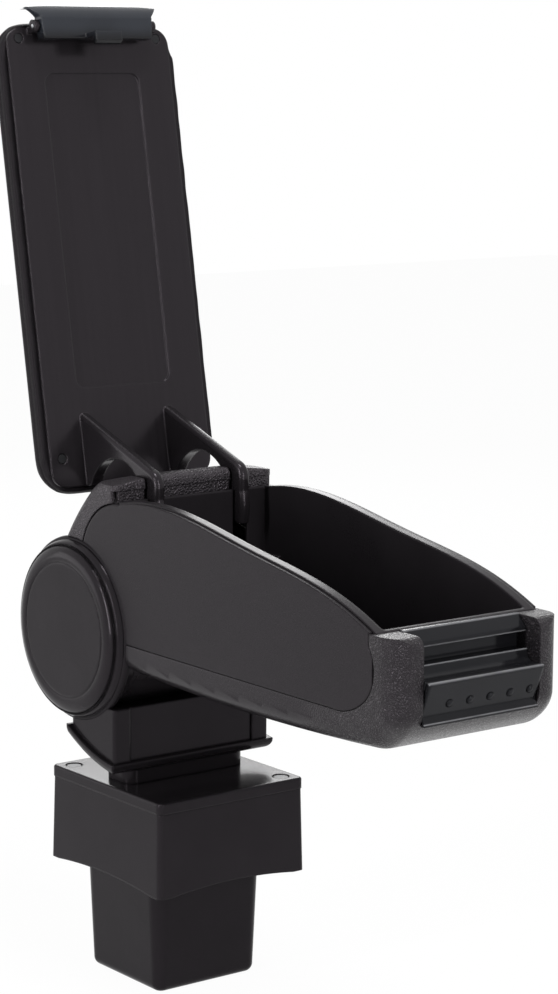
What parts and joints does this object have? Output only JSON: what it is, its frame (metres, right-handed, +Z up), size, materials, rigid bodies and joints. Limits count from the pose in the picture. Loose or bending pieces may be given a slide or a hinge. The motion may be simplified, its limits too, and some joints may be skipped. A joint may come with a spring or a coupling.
{
  "type": "car centre armrest",
  "caption": "Tilting car centre armrest on a console plug, with a storage bin under a padded lid that opens on goosenecks and shuts with a sprung latch.",
  "frame": {"origin": "centre of the flat foot of the console plug", "axes": "+Z up along the plug, +X forward along the arm, +Y to the arm's left"},
  "size_m": [0.3785, 0.1244, 0.5562],
  "materials": {
    "satin_plastic": "satin",
    "grained_plastic": "grained",
    "gloss_black": "gloss",
    "bin_plastic": "satin",
    "latch_plastic": "satin",
    "panel_vinyl": "smooth vinyl",
    "pad_cover": "fine grain",
    "zinc_steel": "zinc plated",
    "spring_steel": "drawn wire",
    "bush_plastic": "natural acetal",
    "fibre_washer": "pressed fibre"
  },
  "bodies": {
    "base": {"console_plug": "satin_plastic", "console_skirt": "satin_plastic", "skirt_cap": "satin_plastic", "cap_screws": "satin_plastic", "rocker_foot": "satin_plastic", "clamp_bolt": "zinc_steel", "clamp_washer": "zinc_steel", "clamp_nut": "zinc_steel", "left_neck_cheek": "satin_plastic", "right_neck_cheek": "satin_plastic", "neck_front_panel": "satin_plastic", "neck_rear_panel": "satin_plastic", "neck_screws": "zinc_steel", "tilt_axle": "zinc_steel", "axle_nut": "zinc_steel", "tilt_stop_pin": "zinc_steel", "friction_washers": "fibre_washer", "left_end_disc": "satin_plastic", "right_end_disc": "satin_plastic"},
    "arm": {"arm_frame": "grained_plastic", "axle_bushes": "bush_plastic", "left_side_panel": "panel_vinyl", "right_side_panel": "panel_vinyl", "bin_liner": "bin_plastic", "bin_screws": "zinc_steel", "rear_cover": "grained_plastic", "lid_hinge_pin": "zinc_steel", "front_bezel": "gloss_black", "grip_panel": "gloss_black"},
    "lid": {"lid_panel": "bin_plastic", "lid_cushion": "pad_cover", "lid_screws": "zinc_steel", "latch_pin": "zinc_steel", "latch_spring": "spring_steel"},
    "latch": {"latch_handle": "latch_plastic"}
  },
  "joints": [
    {"name": "arm_tilt", "type": "hinge", "parent": "base", "child": "arm", "pos_m": [-0.0204, 0, 0.206], "axis": [0, -1, 0], "range_deg": [0, 95]},
    {"name": "lid_hinge", "type": "hinge", "parent": "arm", "child": "lid", "pos_m": [-0.0082, 0, 0.2752], "axis": [0, 1, 0], "range_deg": [0, 110]},
    {"name": "latch_pull", "type": "hinge", "parent": "lid", "child": "latch", "pos_m": [-0.08005, 0, 0.54419], "axis": [0, -1, 0], "range_deg": [0, 15], "stiffness_Nm_per_rad": 0.15, "springref_deg": -17.19}
  ]
}
